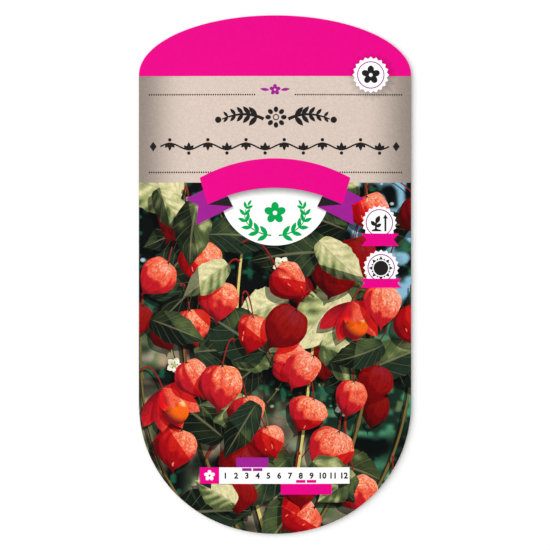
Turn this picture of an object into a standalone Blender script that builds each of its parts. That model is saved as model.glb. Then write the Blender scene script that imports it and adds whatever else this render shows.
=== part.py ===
# A flat seed packet: two die-cut paper sheets, sealed together round the rim, and the loose seeds between them.
# The packet lies on its back. X runs across it, Y towards its top and Z up, out of its printed front, in metres.
# The origin is under the middle of its outline, on the surface that it lies on.
import math
import random
from collections import namedtuple

import bmesh
import bpy
from mathutils import Matrix, Vector

MM = 0.001

# Driving dimensions of the die-cut outline
WIDTH = 84 * MM
HEIGHT = 160 * MM
TOP_CAP = 18.4 * MM  # height of the half ellipse that rounds the top
BOTTOM_CAP = 40.4 * MM  # height of the deeper, fuller round at the bottom
BOTTOM_FULLNESS = 2.04  # exponent of the bottom curve, where 2 would be an ellipse

# The paper, and the sealed band that runs round the pocket
PAPER = 0.2 * MM
SEAL_FILM = 0.3 * MM  # clearance between the sheets in the sealed band
SEAL_SIDE = 6 * MM
SEAL_TOP = 9 * MM
SEAL_BOTTOM = 6 * MM

# How the pocket stands out of the plane of the rim
RIM_LIFT = 1.0 * MM  # the rim stays this far above the surface under the packet
FRONT_RISE = 1.35 * MM  # crown of the front sheet in the middle of the pocket
SEED_BELLY = 0.45 * MM  # what the seeds add to the crown, low in the pocket
SEED_PLACE = Vector((-3 * MM, -36 * MM))  # the middle of the heap of seeds
BELLY_REACH = 30 * MM
CROWN_POWER = 2.4  # how square the crown is across the packet
CROWN_END_POWER = 4  # and how square it is along it
REST_SHARE = 0.62  # share of the crown above which the back sheet lies flat on the surface

# Facets
CAP_STEPS = 12  # from an apex to a shoulder
SIDE_STEPS = 9
POCKET_SHARES = (0.12, 0.3, 0.52, 0.76)  # loops between the pocket's edge and its spine

# Seeds: small flat kidneys, one layer with a few more lying on it
SEED_LENGTH = 2.2 * MM
SEED_WIDTH = 1.8 * MM
SEED_THICK = 0.8 * MM
SEED_SIDES = 6
SEED_DIMPLE = 0.24  # depth of the kidney's hollow, as a share of its width
SEED_EDGE = 0.72  # height of the seed's rim against its middle
SEED_PITCH = 1.55 * MM  # under a seed's width, so that neighbours join
SEED_JITTER = 0.09 * MM
SEED_TILT = math.radians(9)
HEAP_LENGTH = 17 * MM
HEAP_WIDTH = 10 * MM
UPPER_SHARE = 0.2  # share of the seeds that have another lying on them
SEED_GAP = 0.3 * MM  # clearance between the lowest seed and the back sheet
RANDOM_SEED = 7

Outline = namedtuple("Outline", "half_width top bottom top_cap bottom_cap")

DIE_CUT = Outline(WIDTH / 2, HEIGHT / 2, -HEIGHT / 2, TOP_CAP, BOTTOM_CAP)
POCKET = Outline(
    WIDTH / 2 - SEAL_SIDE,
    HEIGHT / 2 - SEAL_TOP,
    -HEIGHT / 2 + SEAL_BOTTOM,
    TOP_CAP - SEAL_TOP / 3,
    BOTTOM_CAP - SEAL_BOTTOM,
)
SPINE = (POCKET.bottom + POCKET.bottom_cap, POCKET.top - POCKET.top_cap)


def clear_scene():
    for obj in list(bpy.data.objects):
        bpy.data.objects.remove(obj)


def half_width_at(outline, y):
    """Half the outline's width at this height along the packet."""
    if y > outline.top - outline.top_cap:
        rise = min(1, (y - outline.top + outline.top_cap) / outline.top_cap)
        return outline.half_width * math.sqrt(1 - rise**2)
    if y < outline.bottom + outline.bottom_cap:
        drop = min(1, (outline.bottom + outline.bottom_cap - y) / outline.bottom_cap)
        return outline.half_width * (1 - drop**BOTTOM_FULLNESS) ** (1 / BOTTOM_FULLNESS)
    return outline.half_width


def right_side(outline):
    """Points down the right side of an outline, from its top apex to its bottom apex."""
    points = []
    top_centre = outline.top - outline.top_cap
    bottom_centre = outline.bottom + outline.bottom_cap
    for step in range(CAP_STEPS):
        turn = math.pi / 2 * (1 - step / CAP_STEPS)
        points.append(Vector((outline.half_width * math.cos(turn), top_centre + outline.top_cap * math.sin(turn))))
    for step in range(SIDE_STEPS):
        points.append(Vector((outline.half_width, top_centre + (bottom_centre - top_centre) * step / SIDE_STEPS)))
    power = 2 / BOTTOM_FULLNESS
    for step in range(CAP_STEPS + 1):
        turn = math.pi / 2 * step / CAP_STEPS
        across = outline.half_width * max(0, math.cos(turn)) ** power
        points.append(Vector((across, bottom_centre - outline.bottom_cap * math.sin(turn) ** power)))
    points[0].x = points[-1].x = 0
    return points


def closed_loop(side):
    """The right side and its mirror image, as one loop that starts at the top apex."""
    return side + [Vector((-p.x, p.y)) for p in reversed(side[1:-1])]


def sheet_loops():
    """Loops from the cut edge in to the pocket's edge, and then on towards the pocket's spine."""
    pocket = right_side(POCKET)
    sides = [right_side(DIE_CUT), pocket]
    for share in POCKET_SHARES:
        spine = [Vector((0, min(max(p.y, SPINE[0]), SPINE[1]))) for p in pocket]
        sides.append([p.lerp(s, share) for p, s in zip(pocket, spine)])
    return [closed_loop(side) for side in sides]


def crown(x, y):
    """How far the pocket is open at a point, from 0 at its edge to 1 along its middle."""
    half = half_width_at(POCKET, y)
    middle = (POCKET.top + POCKET.bottom) / 2
    along = min(1, abs(y - middle) / (POCKET.top - middle))
    if half <= 0 or abs(x) >= half or along >= 1:
        return 0.0
    return (1 - (abs(x) / half) ** CROWN_POWER) * (1 - along**CROWN_END_POWER)


def front_height(x, y):
    """Height of the front sheet's inner face."""
    away = (Vector((x, y)) - SEED_PLACE).length / BELLY_REACH
    rise = FRONT_RISE + SEED_BELLY * math.exp(-(away**2))
    return RIM_LIFT + PAPER + SEAL_FILM + rise * crown(x, y)


def back_height(x, y):
    """Height of the back sheet's outer face, which is flat where the packet rests on it."""
    return RIM_LIFT * (1 - min(1, crown(x, y) / REST_SHARE))


def add_skin(bm, loops, height):
    """One face of a sheet: rings of quads between the loops, and bars across the innermost."""
    rings = [[bm.verts.new((p.x, p.y, height(p.x, p.y))) for p in loop] for loop in loops]
    count = len(loops[0])
    for outer, inner in zip(rings, rings[1:]):
        for i in range(count):
            j = (i + 1) % count
            bm.faces.new((outer[i], outer[j], inner[j], inner[i]))
    last = rings[-1]
    half = count // 2
    bm.faces.new((last[0], last[1], last[-1]))
    for i in range(1, half - 1):
        bm.faces.new((last[i], last[i + 1], last[-i - 1], last[-i]))
    bm.faces.new((last[half - 1], last[half], last[half + 1]))
    return rings[0]


def material(name, colour, roughness):
    made = bpy.data.materials.new(name)
    made.use_nodes = True
    shader = made.node_tree.nodes["Principled BSDF"]
    shader.inputs["Base Color"].default_value = (*colour, 1)
    shader.inputs["Roughness"].default_value = roughness
    shader.inputs["Metallic"].default_value = 0
    made.diffuse_color = (*colour, 1)
    return made


def add_object(name, bm, made_of, parent):
    bmesh.ops.recalc_face_normals(bm, faces=bm.faces)
    mesh = bpy.data.meshes.new(name)
    bm.to_mesh(mesh)
    bm.free()
    mesh.materials.append(made_of)
    obj = bpy.data.objects.new(name, mesh)
    obj.parent = parent
    bpy.context.scene.collection.objects.link(obj)
    return obj


def paper_sheet(name, height, made_of, parent):
    """A whole sheet of paper, whose inner and outer faces are one paper thickness apart."""
    bm = bmesh.new()
    loops = sheet_loops()
    lower = add_skin(bm, loops, height)
    upper = add_skin(bm, loops, lambda x, y: height(x, y) + PAPER)
    for i in range(len(lower)):
        j = (i + 1) % len(lower)
        bm.faces.new((lower[i], lower[j], upper[j], upper[i]))
    obj = add_object(name, bm, made_of, parent)
    obj.data.shade_smooth()
    obj.data.set_sharp_from_angle(angle=math.radians(40))
    return obj


def seed_body(place):
    """One flat, kidney-shaped seed, as a bmesh put in place by a matrix."""
    bm = bmesh.new()
    rims = {}
    for level in (-1, 1):
        rims[level] = []
        for side in range(SEED_SIDES):
            turn = 2 * math.pi * side / SEED_SIDES
            hollow = SEED_DIMPLE * max(0, -math.sin(turn)) ** 4
            along = SEED_LENGTH / 2 * math.cos(turn)
            across = SEED_WIDTH / 2 * math.sin(turn) * (1 - 2 * hollow)
            rise = level * SEED_THICK / 2 * (1 - SEED_EDGE)
            rims[level].append(bm.verts.new(place @ Vector((along, across, rise))))
    for level, rim in rims.items():
        crest = bm.verts.new(place @ Vector((0, 0, level * SEED_THICK / 2)))
        for side in range(SEED_SIDES):
            bm.faces.new((rim[side], rim[(side + 1) % SEED_SIDES], crest))
    for side in range(SEED_SIDES):
        after = (side + 1) % SEED_SIDES
        bm.faces.new((rims[-1][side], rims[-1][after], rims[1][after], rims[1][side]))
    return bm


def seed_places():
    """Where each seed of the heap lies: a close-packed oval layer, and a few on top of it."""
    draw = random.Random(RANDOM_SEED)
    floor = PAPER + SEED_GAP + SEED_THICK / 2 + SEED_LENGTH / 2 * math.sin(SEED_TILT)
    row_pitch = SEED_PITCH * math.sqrt(3) / 2
    rows = int(HEAP_LENGTH / 2 / row_pitch)
    columns = int(HEAP_WIDTH / 2 / SEED_PITCH) + 1
    for row in range(-rows, rows + 1):
        for column in range(-columns, columns + 1):
            x = (column + 0.5 * (row % 2)) * SEED_PITCH
            y = row * row_pitch
            if (2 * x / HEAP_WIDTH) ** 2 + (2 * y / HEAP_LENGTH) ** 2 > 1:
                continue
            spot = SEED_PLACE + Vector((x, y)) + Vector((draw.uniform(-1, 1), draw.uniform(-1, 1))) * SEED_JITTER
            yield seed_matrix(spot, floor, draw)
            inside = (2 * x / HEAP_WIDTH) ** 2 + (2 * y / HEAP_LENGTH) ** 2 < 0.6
            if inside and draw.random() < UPPER_SHARE:
                yield seed_matrix(spot, floor + SEED_THICK * 0.6, draw)


def seed_matrix(spot, height, draw):
    turn = Matrix.Rotation(draw.uniform(0, 2 * math.pi), 4, "Z")
    tilt = Matrix.Rotation(draw.uniform(-SEED_TILT, SEED_TILT), 4, "X")
    return Matrix.Translation((spot.x, spot.y, height)) @ turn @ tilt


def seed_heap(name, made_of, parent):
    """All the seeds, joined where they touch into one body."""
    helpers = bpy.data.collections.new("loose seeds")
    bpy.context.scene.collection.children.link(helpers)
    heap = None
    for number, place in enumerate(seed_places()):
        seed = add_object(f"{name}_{number}", seed_body(place), made_of, None)
        if heap is None:
            heap = seed
            heap.name = name
            continue
        bpy.context.scene.collection.objects.unlink(seed)
        helpers.objects.link(seed)
    union = heap.modifiers.new("union", "BOOLEAN")
    union.operation = "UNION"
    union.operand_type = "COLLECTION"
    union.collection = helpers
    union.solver = "EXACT"
    graph = bpy.context.evaluated_depsgraph_get()
    joined = bpy.data.meshes.new_from_object(heap.evaluated_get(graph))
    heap.modifiers.clear()
    heap.data = joined
    heap.data.name = name
    heap.parent = parent
    for seed in list(helpers.objects):
        bpy.data.objects.remove(seed)
    bpy.data.collections.remove(helpers)
    return heap


def build():
    clear_scene()
    packet = bpy.data.objects.new("seed_packet", None)
    bpy.context.scene.collection.objects.link(packet)
    printed = material("printed_front", (0.62, 0.05, 0.14), 0.42)
    plain = material("printed_back", (0.71, 0.61, 0.51), 0.55)
    seed_coat = material("seed_coat", (0.55, 0.36, 0.15), 0.6)
    paper_sheet("back_sheet", back_height, plain, packet)
    paper_sheet("front_sheet", front_height, printed, packet)
    seed_heap("seeds", seed_coat, packet)


build()
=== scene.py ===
# Looks of a flat, die-cut paper seed packet, which lies on its back under soft studio light.
# Lengths on the packet are in millimetres, x to the right of its middle and y up from it.
import math
import random
from collections import namedtuple
from functools import lru_cache

import bpy
import numpy as np
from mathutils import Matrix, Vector
from mathutils.geometry import delaunay_2d_cdt


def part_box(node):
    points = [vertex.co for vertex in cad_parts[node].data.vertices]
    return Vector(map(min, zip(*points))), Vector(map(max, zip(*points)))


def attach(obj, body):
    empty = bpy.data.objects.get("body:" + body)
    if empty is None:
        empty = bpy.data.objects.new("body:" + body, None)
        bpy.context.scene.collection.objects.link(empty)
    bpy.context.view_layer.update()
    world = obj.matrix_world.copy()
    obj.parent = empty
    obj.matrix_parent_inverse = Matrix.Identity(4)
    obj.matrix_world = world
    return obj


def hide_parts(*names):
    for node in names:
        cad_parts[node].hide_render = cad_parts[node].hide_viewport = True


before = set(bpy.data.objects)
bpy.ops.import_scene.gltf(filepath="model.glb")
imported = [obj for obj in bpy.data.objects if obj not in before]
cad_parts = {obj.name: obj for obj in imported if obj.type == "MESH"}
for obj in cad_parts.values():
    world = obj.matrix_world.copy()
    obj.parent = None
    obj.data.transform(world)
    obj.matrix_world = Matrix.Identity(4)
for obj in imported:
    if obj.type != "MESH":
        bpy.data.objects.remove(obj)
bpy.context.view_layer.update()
mm = 0.001
print("packet loaded:", ", ".join(sorted(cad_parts)))


# The packet's form

sheetLow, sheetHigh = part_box("front_sheet")
packet = {
    "width": (sheetHigh.x - sheetLow.x) / mm,
    "height": (sheetHigh.y - sheetLow.y) / mm,
    "topCap": 18.4,  # height of the rounded top
    "bottomCap": 40.4,
    "bottomFullness": 2.04,
    "paper": 0.2,
    "rimLift": 1.0,  # rim over the table
    "sealFilm": 0.3,
    "frontRise": 1.35,
    "seedBelly": 0.45,
    "seedPlace": (-3, -36),
    "bellyReach": 30,
    "crownPower": 2.4,
    "crownEndPower": 4,
    "restShare": 0.62,
    "seal": 6,
    "topSeal": 9,
    "seedRelief": 0.11,
    "reliefReach": (6.5, 10),
    "inkHalf": 43,  # ink runs a little past the cut edge
    "inkTop": 81,
}
latticeSize = 97  # cells before the soft random values repeat
Outline = namedtuple("Outline", "halfWidth top bottom topCap bottomCap")
dieCut = Outline(packet["width"] / 2, packet["height"] / 2, -packet["height"] / 2,
                 packet["topCap"], packet["bottomCap"])
pocket = Outline(dieCut.halfWidth - packet["seal"], dieCut.top - packet["topSeal"], dieCut.bottom + packet["seal"],
                 dieCut.topCap - packet["topSeal"] + packet["seal"], dieCut.bottomCap - packet["seal"])


def smooth(low, high, value):
    t = np.clip((value - low) / (high - low), 0, 1)
    return t * t * (3 - 2 * t)


def crown(x, y):
    # 0 at the pocket's edge, 1 along its middle
    rise = np.clip((y - pocket.top + pocket.topCap) / pocket.topCap, 0, 1)
    drop = np.clip((pocket.bottom + pocket.bottomCap - y) / pocket.bottomCap, 0, 1)
    power = packet["bottomFullness"]
    half = pocket.halfWidth * np.sqrt(1 - rise**2) * (1 - drop**power) ** (1 / power)
    middle = (pocket.top + pocket.bottom) / 2
    along = np.clip(np.abs(y - middle) / (pocket.top - middle), 0, 1)
    across = np.clip(np.abs(x) / np.maximum(half, 1e-6), 0, 1)
    return (1 - across ** packet["crownPower"]) * (1 - along ** packet["crownEndPower"])


@lru_cache(None)
def lattice(seed):
    return np.random.default_rng(seed).random((latticeSize, latticeSize))


def cloud(x, y, size, seed):
    # soft random values from 0 to 1, about one lump to each size
    values = lattice(seed)
    u, v = np.asarray(x) / size + 40.5, np.asarray(y) / size + 40.5
    i, j = np.floor(u).astype(int), np.floor(v).astype(int)
    fu, fv = u - i, v - j
    fu, fv = fu * fu * (3 - 2 * fu), fv * fv * (3 - 2 * fv)
    i, j, k, m = (at % latticeSize for at in (i, j, i + 1, j + 1))
    low = values[i, j] * (1 - fu) + values[k, j] * fu
    high = values[i, m] * (1 - fu) + values[k, m] * fu
    return low * (1 - fv) + high * fv


def heapRelief(x, y):
    # the paper shows the seeds that it lies on as low soft lumps
    away = sum(((at - middle) / reach) ** 2
               for at, middle, reach in zip((x, y), packet["seedPlace"], packet["reliefReach"]))
    return packet["seedRelief"] * (cloud(x, y, 1.9, 5) - 0.4) * np.exp(-(away**2))


def frontInner(x, y):
    away = np.hypot(x - packet["seedPlace"][0], y - packet["seedPlace"][1]) / packet["bellyReach"]
    rise = packet["frontRise"] + packet["seedBelly"] * np.exp(-(away**2))
    return packet["rimLift"] + packet["paper"] + packet["sealFilm"] + rise * crown(x, y)


def frontOuter(x, y):
    return frontInner(x, y) + packet["paper"] + heapRelief(x, y)


def backOuter(x, y):
    return packet["rimLift"] * (1 - np.clip(crown(x, y) / packet["restShare"], 0, 1))


def backInner(x, y):
    return backOuter(x, y) + packet["paper"]


def dieCutPoints(steps):
    # the cut edge, anticlockwise from the right shoulder
    wide, topY, bottomY = dieCut.halfWidth, dieCut.top - dieCut.topCap, dieCut.bottom + dieCut.bottomCap
    turns = [math.pi * k / steps for k in range(steps)]
    straight = [(bottomY - topY) * k / (steps // 2) for k in range(steps // 2)]
    power = 2 / packet["bottomFullness"]
    points = [(wide * math.cos(turn), topY + dieCut.topCap * math.sin(turn)) for turn in turns]
    points += [(-wide, topY + step) for step in straight]
    points += [(-wide * math.copysign(abs(math.cos(turn)) ** power, math.cos(turn)),
                bottomY - dieCut.bottomCap * math.sin(turn) ** power) for turn in turns]
    return points + [(wide, bottomY - step) for step in straight]


# Inks, as the printer mixes them

def ink(red, green, blue):
    c = np.array([red, green, blue]) / 255
    return np.where(c <= 0.04045, c / 12.92, ((c + 0.055) / 1.055) ** 2.4)


inks = {name: ink(*shades) for name, shades in {
    "white": (254, 254, 253), "magenta": (231, 0, 135), "purple": (158, 31, 145), "black": (35, 31, 32),
    "green": (0, 166, 81), "linen": (214, 196, 184), "linenEdge": (140, 128, 118),
    "night": (5, 9, 10), "thicket": (20, 42, 30), "spot": (24, 92, 66), "haze": (70, 138, 104),
    "distance": (140, 190, 214), "speck": (196, 222, 236),
    "soil": (200, 176, 142), "stone": (244, 220, 196), "grass": (120, 142, 96),
    "lanternLight": (250, 164, 136), "lanternWarm": (248, 122, 44), "lantern": (234, 74, 46),
    "lanternShade": (190, 22, 34), "lanternDeep": (116, 10, 22), "lanternShine": (255, 200, 170),
    "glint": (240, 112, 84), "berry": (240, 98, 16), "berryLight": (255, 214, 150),
    "leafSun": (224, 216, 164), "leafPale": (170, 176, 116), "leaf": (78, 92, 52), "leafShade": (30, 46, 32),
    "stalk": (146, 40, 34), "stemSun": (212, 194, 112), "stem": (112, 98, 50), "stemShade": (44, 36, 22),
    "petal": (244, 238, 214), "petalShade": (214, 208, 178),
}.items()}


def blendInks(a, b, share):
    a, b = (inks[colour] if isinstance(colour, str) else colour for colour in (a, b))
    share = np.asarray(share)[..., None]
    return a * (1 - share) + b * share


def layered(colour, *steps):
    # each step covers the colour with its ink, by its share
    for name, share in steps:
        colour = blendInks(colour, name, share)
    return colour


def tones(level, first, *steps):
    # each step's ink comes in as the level goes from low to high
    return layered(first, *((name, smooth(low, high, level) * share) for name, low, high, share in steps))


def flat(colour):
    shades = inks[colour] if isinstance(colour, str) else colour
    return lambda x, y: np.tile(shades, (len(x), 1))


dustHalf, dustTop = 42, 80  # the extra points of a print fill the whole sheet


# A print is a stack of outlines. Each has its own ink, or shades what is printed under it.
class Print:
    def __init__(self, ground, slot):
        self.layers = []
        self.points = []
        self.ground = {"colour": ground, "slot": slot, "local": None}
        self.slot = slot  # of every outline that names none

    def add(self, outline, colour, slot=None, local=None):
        # the colour is an ink's name, its shades or a function of the place
        colour = colour if callable(colour) else flat(colour)
        self.layers.append({"outline": outline, "colour": colour, "slot": slot or self.slot, "local": local})

    def shade(self, outline, tint):
        self.layers.append({"outline": outline, "shade": np.array(tint)})

    def softShade(self, outline, slide, tint, steps=4, grow=0.22):
        # nested steps stand for the soft edge of a printed shadow
        ring = np.array(outline)
        middle = ring.mean(0)
        reach = np.abs(ring - middle).max()
        for k in range(steps):
            scale = 1 + grow * (steps / 2 - k) / reach
            self.shade((ring - middle) * scale + middle + np.array(slide), [t ** (1 / steps) for t in tint])

    def dust(self, half, low, high, gap):
        # extra points, which let the colours change inside an outline
        rise = gap * math.sqrt(3) / 2
        for j in range(int((high - low) / rise) + 1):
            for i in range(int(2 * half / gap) + 1):
                self.points.append(((i + 0.5 * (j % 2)) * gap - half, low + j * rise))


def circle(cx, cy, rx, ry=None, count=44, turn=0.0):
    ry = rx if ry is None else ry
    return [(cx + rx * math.cos(turn + math.tau * k / count), cy + ry * math.sin(turn + math.tau * k / count))
            for k in range(count)]


def box(x0, y0, x1, y1):
    return [(x0, y0), (x1, y0), (x1, y1), (x0, y1)]


def strip(line, widths):
    # a ribbon along a line, with a width at each point
    line = np.array(line, float)
    run = np.gradient(line, axis=0)
    run /= np.maximum(np.hypot(run[:, 0], run[:, 1]), 1e-9)[:, None]
    side = np.stack([-run[:, 1], run[:, 0]], 1) * (np.broadcast_to(widths, len(line))[:, None] / 2)
    return np.concatenate([line + side, (line - side)[::-1]])


def bend(a, b, c, count=16):
    # a quadratic curve from a, pulled by b, to c
    t = np.linspace(0, 1, count)[:, None]
    a, b, c = np.array(a, float), np.array(b, float), np.array(c, float)
    return a * (1 - t) ** 2 + 2 * b * t * (1 - t) + c * t**2


def leaflet(length, width, pull=0.45, count=7):
    # a form between two curves that meet at both ends
    return np.concatenate([bend((0, 0), (width, length * pull), (0, length), count),
                           bend((0, length), (-width, length * pull), (0, 0), count)[1:-1]])


def mirrored(points):
    return [(-x, y) for x, y in reversed(list(map(tuple, points)))]


def turned(points, angle, place):
    c, s = math.cos(angle), math.sin(angle)
    x, y = np.array(points, float).T
    return np.stack([x * c - y * s + place[0], x * s + y * c + place[1]], 1)


def placed(name, data):
    # a new object, in the scene
    made = bpy.data.objects.new(name, data)
    bpy.context.scene.collection.objects.link(made)
    return made


print("tools ready")


# Sheet of paper with a printed face

def boundaryLoop(triangles):
    edges = {edge for a, b, c in triangles for edge in ((a, b), (b, c), (c, a))}
    follow = {p: q for p, q in edges if (q, p) not in edges}
    loop = [min(follow)]
    while follow[loop[-1]] != loop[0]:
        loop.append(follow[loop[-1]])
    return loop


def followsSheet(outline, longest=1.3):
    # the outline anticlockwise, with no side so long that it would cut through the curved sheet
    ring = np.array(outline, float)
    nextX, nextY = np.roll(ring, -1, 0).T
    if (ring[:, 0] * nextY - nextX * ring[:, 1]).sum() < 0:
        ring = ring[::-1]
    points = []
    for here, after in zip(ring, np.roll(ring, -1, 0)):
        pieces = max(1, math.ceil(np.hypot(*(after - here)) / longest))
        points += [here + (after - here) * k / pieces for k in range(pieces)]
    return points


def triangulated(outlines, points):
    rings = [followsSheet(outline) for outline in outlines]
    starts = np.cumsum([0] + [len(ring) for ring in rings])
    corners = np.concatenate(rings)
    faces = [list(range(low, high)) for low, high in zip(starts, starts[1:])]
    coords = [Vector(p) for p in np.concatenate([corners, np.reshape(points, (-1, 2))]).tolist()]
    found = delaunay_2d_cdt(coords, [], faces, 0, 1e-4, True)
    flatPoints = np.array([(v.x, v.y) for v in found[0]])
    inside = [(tuple(face), owned) for face, owned in zip(found[2], found[5]) if 0 in owned]
    kept = [face for face, owned in inside]
    a, b, c = flatPoints[np.array(kept)].transpose(1, 0, 2)
    areas = ((b - a)[:, 0] * (c - a)[:, 1] - (c - a)[:, 0] * (b - a)[:, 1]) / 2
    covered = np.zeros(len(faces))
    np.add.at(covered, np.concatenate([owned for face, owned in inside]),
              np.repeat(areas, [len(owned) for face, owned in inside]))
    spans = (np.maximum.reduceat(corners, starts[:-1]) - np.minimum.reduceat(corners, starts[:-1])).prod(1)
    spilt = set(np.nonzero(covered > spans * 1.02 + 0.01)[0])  # too thin to hold its ink, so it would cover the sheet
    return flatPoints, kept, [tuple(sorted(set(owned) - spilt)) for face, owned in inside]


huskGlow = np.array([3.56, 0.295, 0.85])  # a lantern in shadow still glows red


def paintedFaces(art, corners, owners, slots):
    # what is printed at each corner of each face, and the face's finish
    count = len(corners)
    colour, local, slotOf = np.zeros((count, 3, 3)), np.zeros((count, 3, 3)), np.zeros(count, int)
    stacks = {}
    for i, owned in enumerate(owners):
        stacks.setdefault(owned, []).append(i)
    painted = {}
    for owned, members in stacks.items():
        top, tint = art.ground, np.ones(3)
        for number in owned[1:]:
            layer = art.layers[number - 1]
            if "shade" not in layer:
                top, tint = layer, np.ones(3)
            else:
                depth = 1 - layer["shade"].mean()
                tint = tint * layer["shade"] * (1 + (huskGlow - 1) * depth if top["slot"] == "lanternInk" else 1)
        layer, faces, tints = painted.setdefault(id(top), (top, [], []))
        faces += members
        tints += [tint] * len(members)
    for layer, faces, tints in painted.values():
        x, y = corners[faces].reshape(-1, 2).T
        colour[faces] = layer["colour"](x, y).reshape(-1, 3, 3) * np.array(tints)[:, None]
        slotOf[faces] = slots.index(layer["slot"])
        if layer["local"]:
            local[faces] = layer["local"](x, y).reshape(-1, 3, 3)
    return colour, local, slotOf


def printedSheet(name, art, outer, inner, mirror=False):
    slots = list(materials)
    outlines = [dieCutPoints(96)] + [layer["outline"] for layer in art.layers]
    flatPoints, triangles, owners = triangulated(outlines, art.points)
    count = len(triangles)
    colour, local, slotOf = paintedFaces(art, flatPoints[np.array(triangles)], owners, slots)
    ring = boundaryLoop(triangles)
    # a coarse net of points, clear of the cut edge
    innerDust = [(x, y) for x in range(-40, 41, 4) for y in range(-78, 79, 4)
                 if (x / 41) ** 2 + (max(abs(y) - 38, 0) / 40) ** 2 < 0.93]
    innerPoints, innerTriangles, _ = triangulated([flatPoints[ring]], innerDust)
    base = len(flatPoints)
    innerRing = boundaryLoop(innerTriangles)
    nearest = {tuple(p.round(3)): i + base for i, p in zip(innerRing, innerPoints[innerRing])}
    under = [nearest[tuple(p.round(3))] for p in flatPoints[ring]]

    def lifted(points, height):
        x, y = points[:, 0] * (-1 if mirror else 1), points[:, 1]
        return np.stack([x, y, height(x, y)], 1) * mm

    verts = np.concatenate([lifted(flatPoints, outer), lifted(innerPoints, inner)])
    faces = list(triangles)
    faces += [(c + base, b + base, a + base) for a, b, c in innerTriangles]
    faces += zip(under, under[1:] + under[:1], ring[1:] + ring[:1], ring)
    used = sorted({v for face in faces for v in face})
    renumber = {v: i for i, v in enumerate(used)}
    mesh = bpy.data.meshes.new(name)
    mesh.from_pydata(verts[used].tolist(), [], [[renumber[v] for v in face] for face in faces])
    for called, kind, width, values in (("print", "color", 4, colour), ("local", "vector", 3, local)):
        whole = np.full((len(mesh.loops), width), float(kind == "color"))  # white where nothing is printed
        whole[: count * 3, :3] = values.reshape(-1, 3)
        mesh.attributes.new(called, "FLOAT_" + kind.upper(), "CORNER").data.foreach_set(kind, whole.ravel())
    for slot in slots:
        mesh.materials.append(materials[slot])
    slotValues = np.full(len(mesh.polygons), slots.index("paperCore"))
    slotValues[:count] = slotOf
    mesh.polygons.foreach_set("material_index", slotValues)
    mesh.shade_smooth()
    mesh.set_sharp_from_angle(angle=math.radians(40))
    mesh.validate()
    print(name, "has", len(mesh.polygons), "faces in", len(art.layers), "printed layers")
    return placed(name, mesh)


# Finishes

class Finish:
    def __init__(self, name, roughness, specular=0.05):
        self.material = bpy.data.materials.new(name)
        self.material.use_nodes = True
        self.nodes = self.material.node_tree.nodes
        self.links = self.material.node_tree.links
        self.shader = self.nodes["Principled BSDF"]
        self.shader.inputs["Roughness"].default_value = roughness
        self.shader.inputs["Specular IOR Level"].default_value = specular
        self.place = self.node("TexCoord").outputs["Object"]

    def node(self, kind, *values, **settings):
        # a new node, with its sockets in their own order; None leaves one as it is
        node = self.nodes.new("ShaderNode" + kind)
        for setting, value in settings.items():
            setattr(node, setting, value)
        for target, value in zip(node.inputs, values):
            if isinstance(value, bpy.types.NodeSocket):
                self.links.new(value, target)
            elif value is not None:
                target.default_value = value
        return node

    def maths(self, operation, *values):
        return self.node("Math", *values, operation=operation).outputs[0]

    def times(self, a, b):
        return self.maths("MULTIPLY", a, b)

    def plus(self, a, b):
        return self.maths("ADD", a, b)

    def offMiddle(self, value):
        # how far a value lies from a half
        return self.maths("ABSOLUTE", self.maths("SUBTRACT", value, 0.5))

    def printed(self):
        return self.node("Attribute", attribute_name="print").outputs["Color"]

    def green(self):
        # only what the sun lights has much green in its ink
        return self.node("SeparateColor", self.printed()).outputs["Green"]

    def local(self):
        return self.node("Attribute", attribute_name="local").outputs["Vector"]

    def stretched(self, where, scale):
        return self.node("Mapping", where, None, None, scale).outputs[0]

    def noise(self, scale, detail=2.0, roughness=0.5, where=None, stretch=None):
        where = where or self.place
        if stretch:
            where = self.stretched(where, stretch)
        return self.node("TexNoise", where, None, scale, detail, roughness).outputs["Fac"]

    def veins(self, where, width, low, high):
        # low along a net of fine lines, high between them
        net = self.node("TexVoronoi", where, None, 1.0, feature="DISTANCE_TO_EDGE")
        return self.band(net.outputs["Distance"], 0.0, width, low, high)

    def band(self, value, low, high, start=0.0, end=1.0):
        # smooth step from start to end as the value goes from low to high
        return self.node("MapRange", value, low, high, start, end, interpolation_type="SMOOTHSTEP").outputs[0]

    def scaled(self, colour, share):
        # the colour, brighter or darker by a share
        return self.node("VectorMath", colour, None, None, share, operation="SCALE").outputs[0]

    def mixed(self, share, a, b):
        a, b = ((*colour, 1) if isinstance(colour, np.ndarray) else colour for colour in (a, b))
        unusedSockets = [None] * 5
        return self.node("Mix", share, *unusedSockets, a, b, data_type="RGBA").outputs[2]

    def relief(self, height, strength, distance):
        node = self.node("Bump")
        node.inputs["Strength"].default_value = strength
        node.inputs["Distance"].default_value = distance
        self.links.new(height, node.inputs["Height"])
        self.links.new(node.outputs[0], self.shader.inputs["Normal"])

    def wear(self, colour):
        self.links.new(colour, self.shader.inputs["Base Color"])
        return self.material


def printStock(finish):
    # tooth of coated paper under any ink
    tooth = finish.noise(5200, 3, 0.6)
    finish.relief(finish.plus(finish.times(tooth, 0.25), finish.noise(60)), 0.12, 0.0004)
    finish.links.new(finish.band(tooth, 0.3, 0.7, 0.5, 0.62), finish.shader.inputs["Roughness"])
    return tooth


def flatInk():
    finish = Finish("solid_ink", 0.5)
    tooth = printStock(finish)
    mottle = finish.noise(900, 3, 0.55)
    share = finish.plus(finish.band(mottle, 0.25, 0.75, 0.965, 1.03), finish.band(tooth, 0.2, 0.8, -0.015, 0.015))
    return finish.wear(finish.scaled(finish.printed(), share))


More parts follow.
